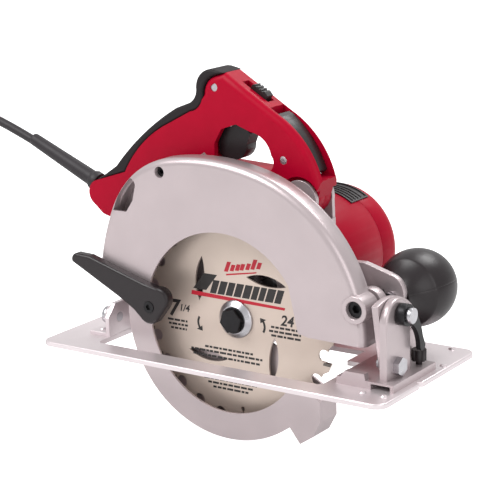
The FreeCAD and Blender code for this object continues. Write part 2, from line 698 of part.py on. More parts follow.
def make_blade():
    blade = Maker("saw_blade")
    radius = SIZE["blade_radius"]
    body_radius = radius - 5
    blade.pad("XZ", "-blade_thick / 2", "blade_thick", circle((0, 0), body_radius))
    # one hooked tooth, then the rest by pattern
    pitch = 360.0 / BLADE_TEETH
    tooth = blade.pad("XZ", "-blade_thick / 2", "blade_thick", outline(
        on_circle((0, 0), body_radius - 6, -8.2), on_circle((0, 0), body_radius - 0.5, -8.2),
        on_circle((0, 0), radius - 1.2, -5.0), on_circle((0, 0), radius, 0.0),
        on_circle((0, 0), body_radius - 0.5, -1.0), on_circle((0, 0), body_radius - 6, -1.4)))
    blade.around(tooth, BLADE_TEETH)
    gullet = blade.pocket("XZ", "-blade_thick", "2 * blade_thick", outline(
        on_circle((0, 0), radius + 1, 0.35), on_circle((0, 0), body_radius - 4, -0.9),
        (on_circle((0, 0), body_radius - 8, 2.2), on_circle((0, 0), body_radius - 1, 5.6)),
        on_circle((0, 0), radius + 1, 5.8)))
    blade.around(gullet, BLADE_TEETH)
    blade.pocket("XZ", "-blade_thick", "2 * blade_thick", circle((0, 0), SIZE["arbor_radius"]))
    # curled slots that damp the plate
    for angle in (74, -16, -106, 164):
        start, outer_mid, end, inner_mid = [
            on_circle((0, 0), r, angle + a) for r, a in ((37.5, 0), (46, -15), (58, -40), (43, -29))]
        blade.pocket("XZ", "-blade_thick", "2 * blade_thick", outline(start, (outer_mid, end), (inner_mid, start)))
    slot = blade.pocket("XZ", "-blade_thick", "2 * blade_thick", outline(
        on_circle((0, 0), 76, 3.0 - 0.5), on_circle((0, 0), 88, 3.0 - 0.4),
        on_circle((0, 0), 88, 3.0 + 0.4), on_circle((0, 0), 76, 3.0 + 0.5)))
    blade.around(slot, 4)
    dot = blade.pocket("XZ", "-blade_thick", "2 * blade_thick", circle(on_circle((0, 0), 75.5, 3.0), 1.8))
    blade.around(dot, 4)
    blade.place(0, 0, "arbor_height")
    return blade


def make_armature():
    shaft = Maker("armature_shaft")
    shaft.turn(((0, 14.5), (5, 14.5), (5, 109), (4, 109), (4, 119), (0, 119)))
    shaft.place(MOTOR_X, 0, MOTOR_Z)
    pinion = Maker("armature_pinion")
    turned = SIZE["mesh_angle"] + 180
    pinion.pad("XZ", 15.2, 8.8, tooth_outline(SIZE["pinion_teeth"], SIZE["gear_module"], turned))
    pinion.pocket("XZ", 14, 12, circle((0, 0), 5))
    pinion.place(MOTOR_X, 0, MOTOR_Z)
    core = Maker("armature_core")
    core.pad("XZ", 48, 40, circle((0, 0), 21.7))
    slot = core.pocket("XZ", 47, 42, rectangle(16, -1.2, 23, 1.2))
    core.around(slot, 12)
    core.pocket("XZ", 47, 42, circle((0, 0), 5))
    core.place(MOTOR_X, 0, MOTOR_Z)
    commutator = Maker("commutator")
    commutator.pad("XZ", 97, 12, circle((0, 0), 12))
    groove = commutator.pocket("XZ", 96, 14, rectangle(11, -0.35, 13, 0.35))
    commutator.around(groove, 24)
    commutator.pocket("XZ", 96, 14, circle((0, 0), 5))
    commutator.place(MOTOR_X, 0, MOTOR_Z)
    fan = Maker("cooling_fan")
    fan.turn(((5, 38), (12, 38), (12, 40), (30, 40), (30, 41.4), (5, 41.4)))
    blade = fan.pad("XZ", 41.4, 4.5, outline((9, -0.7), (29.5, 4), (29, 5.2), (9, 0.7)))
    fan.around(blade, 14)
    fan.place(MOTOR_X, 0, MOTOR_Z)


# ---------------------------------------------------------------- lower guard
LEVER_SCREW = (-65.0, 38.0)


def make_lower_guard():
    guard = Maker("lower_guard")
    outer, rim = SIZE["lower_radius"], SIZE["lower_rim"]
    inner, face = SIZE["lower_inner"], SIZE["lower_face"]
    depth = "lower_back - lower_face"
    first, last = -30.0, -198.0
    middle = (first + last) / 2

    def sector(r_in, r_out):
        return outline(
            on_circle(ARBOR, r_out, first), (on_circle(ARBOR, r_out, middle), on_circle(ARBOR, r_out, last)),
            on_circle(ARBOR, r_in, last), (on_circle(ARBOR, r_in, middle), on_circle(ARBOR, r_in, first)))

    guard.pad("XZ", "lower_face", depth, sector(outer - rim, outer))
    guard.pad("XZ", "lower_face", 2, sector(inner, outer - 0.5))
    guard.pad("XZ", "lower_back - 2", 2, sector(24.5, outer - 0.5))
    guard.pad("XZ", "lower_back - 2", 4, circle(ARBOR, 28))
    lip = outline((80, -15.5), (88, -20), (88, -37), (81, -50), (69, -58), (59, -45), (70, -30))
    guard.pad("XZ", "lower_face", depth, lip)
    guard.pad("XZ", "lower_face", 2, hull(LEVER_SCREW, 8.5, (-84, 20), 9))
    guard.pad("XZ", -23, 5.5, circle(LEVER_SCREW, 8.5))
    guard.pocket("XZ", "lower_face + 2", 20.5, circle(ARBOR, outer - rim))
    guard.pocket("XZ", "lower_back - 4", 8, circle(ARBOR, SIZE["nose_radius"] + SIZE["running_gap"]))
    guard.pocket("XZ", -24, 10, circle(LEVER_SCREW, 2.5))
    return guard


def make_lower_guard_parts():
    lever = Maker("guard_lever")
    lever.pad("XZ", -31, 8, outline(
        (-144, 66), ((-143.5, 71.5), (-138, 73.5)), (-126, 73), (-70, 57), (-58, 54.5),
        ((-47.5, 50), (-48, 40)), (-57, 28), ((-66, 23.5), (-75, 28)), (-82, 34), (-96, 42)))
    lever.round_edges(2.4, lambda e, b: b.YMax < -30.9)
    lever.pocket("XZ", -32, 10, circle(LEVER_SCREW, 2.5))
    lever.pocket("XZ", -32, 3.4, circle(LEVER_SCREW, 5))
    x, z = LEVER_SCREW
    head = rod("y", (x, -31.6, z), 4.8, 3)
    shank = rod("y", (x, -29, z), 2.5, 13)
    socket = hexagon("y", (x, -32, z), 4.4, 2)
    screw = combined("Part::MultiFuse", "lever_screw_blank", head, shank)
    cut("lever_screw", screw, socket)


# ---------------------------------------------------------------- front knob and mounts
def make_knob():
    bracket = Maker("knob_bracket")
    eye = (124, 63)
    bracket.pad("XZ", 24, 6, outline(
        (58, 46), (100, 46), on_circle(eye, 14.8, 240),
        (on_circle(eye, 14.8, 340), on_circle(eye, 14.8, 80)), (104, 84), (58, 82)))
    bracket.pocket("XZ", 23, 8, circle(KNOB, 4))
    bracket.round_edges(1.5, lambda e, b: b.YMax < 24.01 and b.XMax > 135)
    section = ((4.2, 30.5), (13, 30.5), (14, 34), ((20, 43.8), (27, 50)), ((31, 66), (27, 84)),
               ((18, 93.5), (0, 96)), (0, 62), (4.2, 62))
    for name in ("knob_upper_half", "knob_lower_half"):
        half = Maker(name)
        step = half.turn(section, 180)
        step.Reversed = name == "knob_upper_half"
        half.body.Placement = Placement(Vector(), Rotation(Vector(0, 1, 0), -14))
        half.place("knob_x", 0, "knob_z")
    head = rod("y", ("knob_x", 19, "knob_z"), 7, 5)
    shank = rod("y", ("knob_x", 24, "knob_z"), 4, 36)
    fused("knob_bolt", head, shank)


def make_saw_hardware():
    x, z = "pivot_x", "pivot_z"
    head = rod("y", (x, "guard_face + 2", z), 6.6, 6)
    shank = rod("y", (x, "guard_face + 8", z), 5, 27)
    socket = hexagon("y", (x, "guard_face + 1", z), 6, 5)
    blank = combined("Part::MultiFuse", "depth_pivot_blank", head, shank)
    nut = hexagon("y", (x, 8.4, z), 17, 5.5)
    blank = combined("Part::MultiFuse", "depth_pivot_set", blank, nut)
    cut("depth_pivot_bolt", blank, socket)
    stud_x = "pivot_x - depth_arc * cos(12 deg)"
    stud_z = "pivot_z - depth_arc * sin(12 deg)"
    node("depth_stud", rod("y", (stud_x, "back_rear", stud_z), "stud_radius", 17))
    sx, sz = GUARD_SCREW
    head = rod("y", (sx, "guard_face + 4", sz), 4.4, 3)
    shank = rod("y", (sx, "guard_face + 7", sz), 2, 10)
    slot = hexagon("y", (sx, "guard_face + 3", sz), 4, 3)
    blank = combined("Part::MultiFuse", "guard_screw_blank", head, shank)
    cut("guard_screw", blank, slot)
    posts = []
    for angle in (100, 190, 330):
        cx, cz = on_circle(HOUSING, 53.5, angle)
        posts.append(rod("y", (cx, 31, cz), 5, 12.4))
    trim = rod("y", ("housing_x", 20, "housing_z"), "neck_radius", 60)
    cut("housing_screws", combined("Part::MultiFuse", "post_blank", *posts), trim)


def make_handle_mount():
    mount = Maker("handle_mount")
    ear = outline((36, 98), (68, 98), on_circle(TILT, 15.5, -10),
                  (on_circle(TILT, 15.5, 90), on_circle(TILT, 15.5, 190)))
    mount.pad("XZ", 14, 4, ear)
    doc.recompute()
    mount.pad("XZ", 14, 28, rectangle(36, 82, 68, 112.5))
    mount.pad("XZ", 38, 4, ear)
    mount.pocket("XZ", 13, 32, circle(HOUSING, SIZE["neck_radius"]))
    mount.pocket("XZ", 13, 32, circle(TILT, 4))
    mount.pocket("XZ", 13, 3, circle(TILT, 6.5))
    fused("tilt_bolt",
          rod("y", ("tilt_x", 14, "tilt_z"), 4, 28),
          rod("y", ("tilt_x", 13.4, "tilt_z"), 6.5, 2.6),
          rod("y", ("tilt_x", 42, "tilt_z"), 7, 3.5))


# ---------------------------------------------------------------- handle
# seam between the red shells and the rubber cover, from the top down the back
SEAM_TOP, SEAM_LOW = (-17, 224.8), (-119, 136)
REAR_TOP = (-150, 126)


def shell_outline():
    """Side view of the D handle without its rubber cover."""
    front_end = on_circle(TILT, 15, 8)
    return outline(
        front_end, (71, 146), ((56, 175), (32, 195)), (4, 212), SEAM_TOP, (-27, 222),
        ((-34, 217), (-37.5, 208)), ((-40, 198), (-50, 192)), (-73, 180), ((-104, 157), SEAM_LOW),
        REAR_TOP, ((-158, 118), (-155, 107)), (-144, 98), ((-122, 97), (-104, 109)), (-48, 153), (-37, 160),
        (-29, 152), (-25, 143), (-12, 133), (33, 125),
        (on_circle(TILT, 15, 265), front_end))


FINGER = ((-27, 168), (-27, 158), (-22, 151), (20, 149), ((28, 153), (27, 163)), ((22, 173), (8, 180)), (-6, 185),
          (-20, 180))
CAVITY = ((-128, 110), (-120, 128), (-74, 168), (-36, 190), (-20, 206), (0, 198), (-4, 186), (-8, 182), (-24, 176),
          (-34, 171), (-60, 152), (-106, 117))


def make_handle_shells():
    middle, half = SIZE["handle_mid"], SIZE["handle_half"]
    for name, side in (("handle_near_shell", -1), ("handle_far_shell", 1)):
        shell = Maker(name)
        start = "handle_mid - handle_half" if side < 0 else "handle_mid"
        shell.pad("XZ", start, "handle_half", shell_outline())
        outer_face = middle + side * half
        shell.pocket("XZ", start, "handle_half", outline(*FINGER))
        shell.round_edges(6.0, lambda e, b: abs(b.YMax - outer_face) < 0.01 and b.YLength < 0.01
                          and b.XMax < 45 and b.ZMin > 124 and not (b.XMin > -30 and b.XMax < 29 and b.ZMax < 190)
                          and b.ZMax > 190 and b.XMin > -36)
        # cheeks beside the pivot are thinned so that the clevis ears clear them
        level = middle - half if side < 0 else middle + 9.6
        shell.pocket("XZ", level, half - 9.6, circle(TILT, 18.5))
        level = middle - 9.6 if side < 0 else middle
        shell.pocket("XZ", level, 9.6, outline(*CAVITY))
        shell.pocket("XZ", level, 9.6, LEVER_SLOT)
        shell.pocket("XZ", level, 9.6, TRIGGER_ROOM)
        shell.pocket("XZ", level, 9.6, relief_room(-13.4, -7.6, 9.6))
        level = middle - 5.6 if side < 0 else middle
        shell.pocket("XZ", level, 5.6, relief_room(-8, 12, 5.6))
        level = middle - 4.5 if side < 0 else middle
        shell.pocket("XZ", level, 4.5, CATCH_SLOT)
        shell.pocket("XZ", start, "handle_half", circle(TILT, 4 + SIZE["running_gap"]))
        for spot in HANDLE_SCREWS:
            depth = "handle_half" if side < 0 else "handle_half - 4"
            shell.pocket("XZ", start, depth, circle(spot, SHANK))
            if side < 0:
                shell.pocket("XZ", start, 3, circle(spot, HEAD))


HANDLE_SCREWS = ((-118, 105.5), (-26, 213), (38, 160))
HEAD, SHANK = 3.4, 1.8
TRIGGER_PIN = (-14.0, 184.0)
TRIGGER_ROOM = outline((-31.5, 160), (-32, 172), (-27, 184), (-19, 194), (-6, 194), (8, 184), (8, 176),
                       (-20, 152), (-24.5, 152.5), (-28, 155.5))
LEVER_PIN = (59.0, 154.0)
LEVER_SLOT = outline((25, 206), (22, 187), (43, 169), (51, 148), (76, 146), (76, 190))
CATCH_SLOT = outline((-4, 222), (-7, 210.5), (14.5, 197.5), (22, 208))
RELIEF_ROOT = (-152.0, 117.0)
RELIEF_ANGLE = 155.7


def along(start, angle, distance, side=0.0):
    """Point at a distance along a direction and off to its left."""
    c, s = math.cos(math.radians(angle)), math.sin(math.radians(angle))
    return (start[0] + c * distance - s * side, start[1] + s * distance + c * side)


def relief_room(first, last, half):
    """Side view of the room that the strain relief takes inside the shells."""
    corners = ((first, half), (last, half), (last, -half), (first, -half))
    return outline(*[along(RELIEF_ROOT, RELIEF_ANGLE, d, w) for d, w in corners])


def make_grip_cover():
    cover = Maker("grip_cover")
    cover.pad("XZ", "handle_mid - handle_half", "2 * handle_half", outline(
        SEAM_TOP, (-27, 227), ((-40, 222.5), (-44.5, 212)), ((-46, 204), (-52, 198.5)), (-65, 193.5),
        ((-97, 171.5), (-129, 140)), REAR_TOP,
        SEAM_LOW, ((-104, 157), (-73, 180)), (-50, 192), ((-40, 198), (-37.5, 208)), ((-34, 217), (-27, 222))))


def make_handle_screws():
    screws = []
    face = "handle_mid - handle_half"
    for x, z in HANDLE_SCREWS:
        head = rod("y", (x, f"{face} + 0.8", z), HEAD, 2.2)
        shank = rod("y", (x, f"{face} + 3", z), SHANK, 22)
        screws.append(combined("Part::MultiFuse", f"screw_{len(screws)}", head, shank))
    group("handle_screws", *screws)


def make_trigger():
    trigger = Maker("trigger")
    trigger.pad("XZ", "handle_mid - 7", 14, outline(
        (-8, 186), (3, 177), (-1, 168), ((-5, 158), (-11, 155)), (-19, 155), ((-25, 157), (-27.5, 162)),
        (-27.5, 170), (-24, 180), (-18, 189)))
    trigger.pocket("XZ", "handle_mid - 10", 20, circle(TRIGGER_PIN, 2 + SIZE["running_gap"]))


def make_switch():
    switch = Maker("switch_body")
    corners = [along((-62, 162.7), 36, d, w) for d, w in ((-14, -7), (14, -7), (14, 7), (-14, 7))]
    switch.pad("XZ", "handle_mid - 9", 18, outline(*corners))


def make_relief():
    relief = Maker("strain_relief")
    sections = ((-13, 9.3), (-8, 9.3), (-8, 5.4), (8, 5.4), (8, 8.4), (13, 8.4), (16, 6.8), (84, 5.4), (86, 4.8))
    relief.turn(((4.1, -13),) + tuple((r, d) for d, r in sections) + ((4.1, 86),))
    lean = math.radians(RELIEF_ANGLE)
    turn = Rotation(Vector(0, 1, 0), Vector(math.cos(lean), 0, math.sin(lean)))
    relief.body.Placement = Placement(Vector(RELIEF_ROOT[0], SIZE["handle_mid"], RELIEF_ROOT[1]), turn)


def make_lock_lever():
    """Handle-angle lever in the front strut, and the thumb catch that frees it."""
    x, z = LEVER_PIN
    lever = Maker("tilt_lever")
    lever.pad("XZ", "handle_mid - 8.5", 17, outline(
        (30, 195), (27, 189), ((45, 173), (53, 154)), ((57, 149), (64, 152)), ((53, 173), (34, 193))))
    lever.pocket("XZ", "handle_mid - 9.5", 19, circle(LEVER_PIN, 1.5 + SIZE["running_gap"]))
    catch = Maker("thumb_catch")
    catch.pad("XZ", "handle_mid - 4", 8, outline(
        (0, 207), (13, 199.5), (18, 207.5), (15.5, 210.5), (6, 216), (3.5, 215.5)))
    for i in range(3):
        catch.pocket("XZ", "handle_mid - 5", 10, circle((7.5 + 3 * i, 215.1 - 1.74 * i), 1.0))
    group("handle_pins",
          rod("y", (x, "handle_mid - 9.6", z), 1.5, 19.2),
          rod("y", (TRIGGER_PIN[0], "handle_mid - 9.6", TRIGGER_PIN[1]), 2, 19.2))


def make_levers():
    y, z = BEVEL_STUD
    lever = Maker("bevel_lever")
    hub_x = 153
    lever.pad("YZ", hub_x, 7, circle(BEVEL_STUD, 8.5))
    lever.pad("YZ", hub_x + 2, 4, outline(
        (y - 4, z - 5), (y + 3, z + 7.5), ((y + 14, z - 2), (y + 24, z - 22)), (y + 28, z - 30),
        ((y + 25, z - 34), (y + 20, z - 31)), ((y + 13, z - 14), (y + 3, z - 7))))
    lever.pocket("YZ", hub_x - 1, 9, circle(BEVEL_STUD, SIZE["stud_radius"] + SIZE["running_gap"]))
    lever = Maker("depth_lever")
    x, z = DEPTH_STUD
    lever.pad("XZ", 20, 8, circle(DEPTH_STUD, 8.5))
    lever.pad("XZ", 22, 4, hull((x, z), 6.5, (x - 42, z + 9), 5))
    lever.pocket("XZ", 19, 10, circle(DEPTH_STUD, SIZE["stud_radius"] + SIZE["running_gap"]))


def make_spindle_lock():
    y, z = LOCK_CENTRE
    pin = rod("x", (-44, y, z), LOCK_PIN, 31)
    button = rod("x", (-50, y, z), 5, 6)
    fused("spindle_lock_button", pin, button)


# ---------------------------------------------------------------- cord
# corners of the cord's route beyond the strain relief; the last one lies inside the coil
CORD_POINTS = ((-318, 29, 174), (-360, 34, 134), (-384, 46, 79), (-393, 58, 20), (-396, 62, -30),
               (-398, 16, -54), (-393, -14, -55))


def make_cord():
    """Cord from the strain relief down to the coil, as straight runs joined by tangent arcs."""
    mid = SIZE["handle_mid"]
    start = along(RELIEF_ROOT, RELIEF_ANGLE, 0)
    tip = along(RELIEF_ROOT, RELIEF_ANGLE, 118)
    points = [Vector(start[0], mid, start[1]), Vector(tip[0], mid, tip[1])]
    points += [Vector(x, y, z) for x, y, z in CORD_POINTS]
    path = rounded(points)
    circle_wire = Part.Wire([Part.Circle(points[0], points[1] - points[0], SIZE["cord_radius"]).toShape()])
    solid = Part.Wire(path).makePipeShell([circle_wire], True, True)
    cord = doc.addObject("Part::Feature", "cord_run")
    cord.Shape = solid
    x, y, z = "coil_x", "coil_y", "floor_level"
    coil = combined("Part::Cut", "coil_room", rod("z", (x, y, z), "coil_outer", "coil_height"),
                    rod("z", (x, y, z), "coil_inner", "coil_height"))
    cut("power_cord", cord, coil)


def rounded(points):
    """Edges through the points: straight runs with tangent arcs at the corners."""
    edges = []
    here = points[0]
    for before, corner, after in zip(points, points[1:], points[2:]):
        a, b = (before - corner), (after - corner)
        half_turn = (math.pi - a.getAngle(b)) / 2
        reach = 0.45 * min(a.Length, b.Length)
        first, last = corner + a.normalize() * reach, corner + b.normalize() * reach
        radius = reach / math.tan(half_turn)
        inward = (a + b).normalize()
        middle = corner + inward * (radius / math.cos(half_turn) - radius)
        if (first - here).Length > 1e-4:
            edges.append(Part.LineSegment(here, first).toShape())
        edges.append(Part.Arc(first, middle, last).toShape())
        here = last
    edges.append(Part.LineSegment(here, points[-1]).toShape())
    return edges


def make_coil():
    """Put-away length of cord as one ring, with its tie and plug."""
    low, x, y = "floor_level", "coil_x", "coil_y"
    ring("cord_coil", "z", (x, y, low), "coil_outer", "coil_inner", "coil_height")
    level = SIZE["floor_level"]
    near = SIZE["coil_y"] - SIZE["coil_outer"]
    width = SIZE["coil_outer"] - SIZE["coil_inner"]
    thick = SIZE["tie_thick"]
    tie = Maker("cord_tie")
    tie.pad("YZ", "coil_x - 6", 12, rectangle(
        near - thick, level - thick, near + width + thick + 1.5, level + SIZE["coil_height"] + thick))
    tie.pocket("YZ", "coil_x - 7", 14, rectangle(
        near - 0.01, level - 0.01, near + width + 1.5, level + SIZE["coil_height"] + 0.01))
    top = SIZE["floor_level"] + SIZE["coil_height"]
    plug = Maker("mains_plug")
    centre = (SIZE["coil_x"] + 44, top + 11.5)
    plug.pad("XZ", -6, 30, circle(centre, 11.5))
    plug.pad("XZ", -12, 6, rectangle(centre[0] - 11, centre[1] - 9, centre[0] + 11, centre[1] + 9))
    for side in (-1, 1):
        x0 = centre[0] + side * 6.35 - 0.8
        plug.pad("XZ", -29, 17.2, rectangle(x0, centre[1] - 3.2, x0 + 1.6, centre[1] + 3.2))
    plug.pad("XZ", 24, 8, circle(centre, 6))


# ---------------------------------------------------------------- build
def build():
    for make in (make_shoe_plate, make_rivets, make_front_bracket, make_shoe_hardware, make_rear_bracket,
                 make_bevel_yoke, make_depth_bracket, make_upper_guard, make_guard_back, make_gear_case,
                 make_motor_housing, make_end_cap, make_bearings, make_motor_parts, make_spindle, make_blade,
                 make_armature, make_lower_guard, make_lower_guard_parts, make_knob, make_saw_hardware,
                 make_handle_mount, make_handle_shells, make_grip_cover, make_handle_screws, make_trigger,
                 make_switch, make_relief, make_lock_lever, make_levers, make_spindle_lock, make_cord, make_coil):
        make()
        doc.recompute()


def export():
    os.makedirs("parts", exist_ok=True)
    for name, thing in nodes.items():
        if thing.Shape.isNull() or not thing.Shape.isValid():
            raise RuntimeError(f"{name} has no valid shape")
        thing.Shape.exportStep(f"parts/{name}.step")


build()
export()
print(len(nodes), "sub-parts")
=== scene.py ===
import json
import math
import random

import bmesh
import bpy
from mathutils import Matrix, Vector


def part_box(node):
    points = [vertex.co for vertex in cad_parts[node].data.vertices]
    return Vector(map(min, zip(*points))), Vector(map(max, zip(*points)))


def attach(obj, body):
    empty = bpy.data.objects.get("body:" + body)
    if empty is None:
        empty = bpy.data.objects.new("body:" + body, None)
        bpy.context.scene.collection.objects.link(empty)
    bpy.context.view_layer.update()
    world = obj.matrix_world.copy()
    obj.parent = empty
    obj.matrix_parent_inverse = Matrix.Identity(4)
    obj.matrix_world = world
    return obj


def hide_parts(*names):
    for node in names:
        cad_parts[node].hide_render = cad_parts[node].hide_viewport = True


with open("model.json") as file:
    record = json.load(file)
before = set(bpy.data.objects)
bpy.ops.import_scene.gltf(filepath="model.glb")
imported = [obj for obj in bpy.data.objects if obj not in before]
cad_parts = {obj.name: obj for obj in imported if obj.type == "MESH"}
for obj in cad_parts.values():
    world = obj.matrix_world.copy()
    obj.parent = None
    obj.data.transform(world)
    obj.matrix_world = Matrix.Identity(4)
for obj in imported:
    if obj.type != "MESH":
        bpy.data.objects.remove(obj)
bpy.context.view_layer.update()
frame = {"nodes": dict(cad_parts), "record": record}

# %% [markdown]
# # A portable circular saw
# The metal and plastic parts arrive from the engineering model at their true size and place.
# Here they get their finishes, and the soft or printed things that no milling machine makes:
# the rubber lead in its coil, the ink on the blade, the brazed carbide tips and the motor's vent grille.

scene = bpy.context.scene
MM = 0.001


def new_object(name, data):
    thing = bpy.data.objects.new(name, data)
    scene.collection.objects.link(thing)
    return thing


def mesh_object(name, points, faces, smooth=False):
    mesh = bpy.data.meshes.new(name)
    mesh.from_pydata([tuple(p) for p in points], [], faces)
    mesh.update()
    for polygon in mesh.polygons:
        polygon.use_smooth = smooth
    return new_object(name, mesh)


def add(tree, kind, settings=None, **links):
    """Add one node; settings fill its sockets and properties, links join sockets to it."""
    made = tree.nodes.new(kind)
    for name, value in (settings or {}).items():
        if name in made.inputs:
            made.inputs[name].default_value = value
        else:
            setattr(made, name, value)
    for name, source in links.items():
        tree.links.new(source, made.inputs[name.replace("_", " ")])
    return made


# %% [markdown]
# ## The camera
# A long lens from far away keeps the shoe's edges nearly parallel, the way a catalogue picture does.
# The camera could be placed by hand; working it out from azimuth, elevation and distance around one
# target makes each of the numbers mean something.

# %% Camera
AZIMUTH, ELEVATION, ROLL = 34.36, 14.41, -1.43
DISTANCE = 1.3978
TARGET = Vector((-0.01779, 0.04663, 0.07231))
LENS_MM = 122.3
SHIFT_UP = 0.004

a, e = math.radians(AZIMUTH), math.radians(ELEVATION)
right = Vector((math.cos(a), math.sin(a), 0))
up = Vector((-math.sin(a) * math.sin(e), math.cos(a) * math.sin(e), math.cos(e)))
back = Vector((math.sin(a) * math.cos(e), -math.cos(a) * math.cos(e), math.sin(e)))
camera = new_object("camera", bpy.data.cameras.new("camera"))
place = Matrix((right, up, back)).transposed().to_4x4()
place.translation = TARGET + back * DISTANCE
camera.matrix_world = place @ Matrix.Rotation(math.radians(ROLL), 4, "Z")
camera.data.lens = LENS_MM
camera.data.shift_y = SHIFT_UP
scene.camera = camera
print("camera stands at", [round(v, 3) for v in place.translation])

# %% [markdown]
# ## Floor and light
# The saw stands on a backlit sweep of white acrylic, which is how a catalogue loses every shadow. One
# big soft light above and to the left draws the bright line along the guard's rim, and weaker ones
# from the right and from behind lift the motor.

# %% Floor and light
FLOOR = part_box("cord_coil")[0][2]


def make_sweep():
    """Floor that curves up into a backdrop far behind the saw; sizes in metres."""
    front, foot, bend, top, half_width = -4.0, 3.0, 2, 6.0, 7
    profile = [(front, 0.0), (foot, 0.0)]
    for degrees in range(10, 100, 10):
        t = math.radians(degrees)
        profile.append((foot + bend * math.sin(t), bend - bend * math.cos(t)))
    profile.append((foot + bend, top))
    points, faces = [], []
    for y, z in profile:
        points += [(-half_width, y, z), (half_width, y, z)]
    for i in range(len(profile) - 1):
        faces.append((2 * i, 2 * i + 1, 2 * i + 3, 2 * i + 2))
    sweep = mesh_object("studio_sweep", points, faces, smooth=True)
    glow = bpy.data.materials.new("backlit_acrylic")
    glow.use_nodes = True
    shader = glow.node_tree.nodes["Principled BSDF"]
    shader.inputs["Base Color"].default_value = (0.5, 0.5, 0.5, 1)
    shader.inputs["Roughness"].default_value = 0.9
    shader.inputs["Emission Color"].default_value = (1, 1, 1, 1)
    sweep.data.materials.append(glow)
    sweep.rotation_euler.z = a
    sweep.location.z = FLOOR - 0.5 * MM
    return sweep


def area_light(name, at, size, power, aim=TARGET):
    """Square light of a size in metres and a power in watts, turned towards the saw."""
    data = bpy.data.lights.new(name, "AREA")
    data.size = size
    data.energy = power
    lamp = new_object(name, data)
    lamp.location = at
    lamp.rotation_euler = (aim - Vector(at)).to_track_quat("-Z", "Y").to_euler()


studio = make_sweep()
area_light("key", (-0.9, -1.3, 1.9), 1.2, 44)
area_light("fill", (1.7, -0.9, 0.8), 1.4, 11)
area_light("rim", (0.3, 1.3, 1.9), 1.0, 30)
world = bpy.data.worlds.new("studio")
scene.world = world
world.use_nodes = True
room = world.node_tree
room.nodes["Background"].inputs["Color"].default_value = (1, 1, 1, 1)


def white_to_camera(tree, socket, soft):
    """Full strength for rays from the camera, and a softer one for the light on the saw."""
    path = add(tree, "ShaderNodeLightPath")
    strength = add(tree, "ShaderNodeMapRange", {"To Min": soft, "To Max": 1.0},
                   Value=path.outputs["Is Camera Ray"])
    tree.links.new(strength.outputs["Result"], socket)


ROOM_LIGHT, SWEEP_LIGHT = 0.68, 0.42
acrylic = studio.active_material.node_tree
white_to_camera(room, room.nodes["Background"].inputs["Strength"], ROOM_LIGHT)
white_to_camera(acrylic, acrylic.nodes["Principled BSDF"].inputs["Emission Strength"], SWEEP_LIGHT)
scene.view_settings.view_transform = "Standard"
print("floor at", round(FLOOR, 4), "m")

# %% [markdown]
# ## How a finish is written down
# Every finish starts from the real material. Colours are written the way a paint card gives them, as
# sRGB hex, and one function turns them into the linear light that the shader adds up. Patterns are
# sized in millimetres, so one helper turns a size into a texture scale.

# %% Helpers for finishes
MIX_A, MIX_B, MIX_OUT = 6, 7, 2      # the mix node's colour sockets, which share their names with others
GRAIN_DEPTH = 0.2 * MM
LESS_ROUGH, MORE_ROUGH = 0.05, 0.07


def linear(code):
    """sRGB hex to linear colour."""
    out = []
    for i in (0, 2, 4):
        c = int(code[i:i + 2], 16) / 255
        out.append(c / 12.92 if c <= 0.04045 else ((c + 0.055) / 1.055) ** 2.4)
    return (*out, 1.0)


def per_metre(size_mm):
    """Texture scale for a pattern that repeats every size_mm."""
    return 1000.0 / size_mm


def finish(name, code, roughness, metallic=0.0, ior=1.5, second=None, spread_mm=12.0,
           grain_mm=0.5, bump=0.05, gloss=0.5):
    """A material with its colour drifting a little and a moulded or blasted grain in relief."""
    material = bpy.data.materials.new(name)
    material.use_nodes = True
    tree = material.node_tree
    shader = tree.nodes["Principled BSDF"]
    shader.inputs["Roughness"].default_value = roughness
    shader.inputs["Metallic"].default_value = metallic
    shader.inputs["IOR"].default_value = ior
    shader.inputs["Specular IOR Level"].default_value = gloss
    where = add(tree, "ShaderNodeTexCoord")
    cloud = add(tree, "ShaderNodeTexNoise", {"Scale": per_metre(spread_mm), "Detail": 3.0},
                Vector=where.outputs["Object"])
    tint = add(tree, "ShaderNodeMix", {"data_type": "RGBA"})
    tree.links.new(cloud.outputs["Fac"], tint.inputs["Factor"])
    tint.inputs[MIX_A].default_value = linear(code)
    tint.inputs[MIX_B].default_value = linear(second or code)
    tree.links.new(tint.outputs[MIX_OUT], shader.inputs["Base Color"])
    grain = add(tree, "ShaderNodeTexNoise", {"Scale": per_metre(grain_mm), "Detail": 2.0},
                Vector=where.outputs["Object"])
    relief = add(tree, "ShaderNodeBump", {"Strength": bump, "Distance": GRAIN_DEPTH},
                 Height=grain.outputs["Fac"])
    tree.links.new(relief.outputs["Normal"], shader.inputs["Normal"])
    limits = {"To Min": roughness - LESS_ROUGH, "To Max": roughness + MORE_ROUGH}
    patchy = add(tree, "ShaderNodeMapRange", limits, Value=cloud.outputs["Fac"])
    tree.links.new(patchy.outputs["Result"], shader.inputs["Roughness"])
    return material


# %% [markdown]
# ## Plastics and rubber
# The housing and handle are glass-filled nylon, moulded in a crimson that stays strong in the shade.
# The tool's cavity was spark-eroded, which leaves a fine even grain. The grip is a soft rubber
# moulded over the nylon, and the knob, levers and trigger are black nylon.

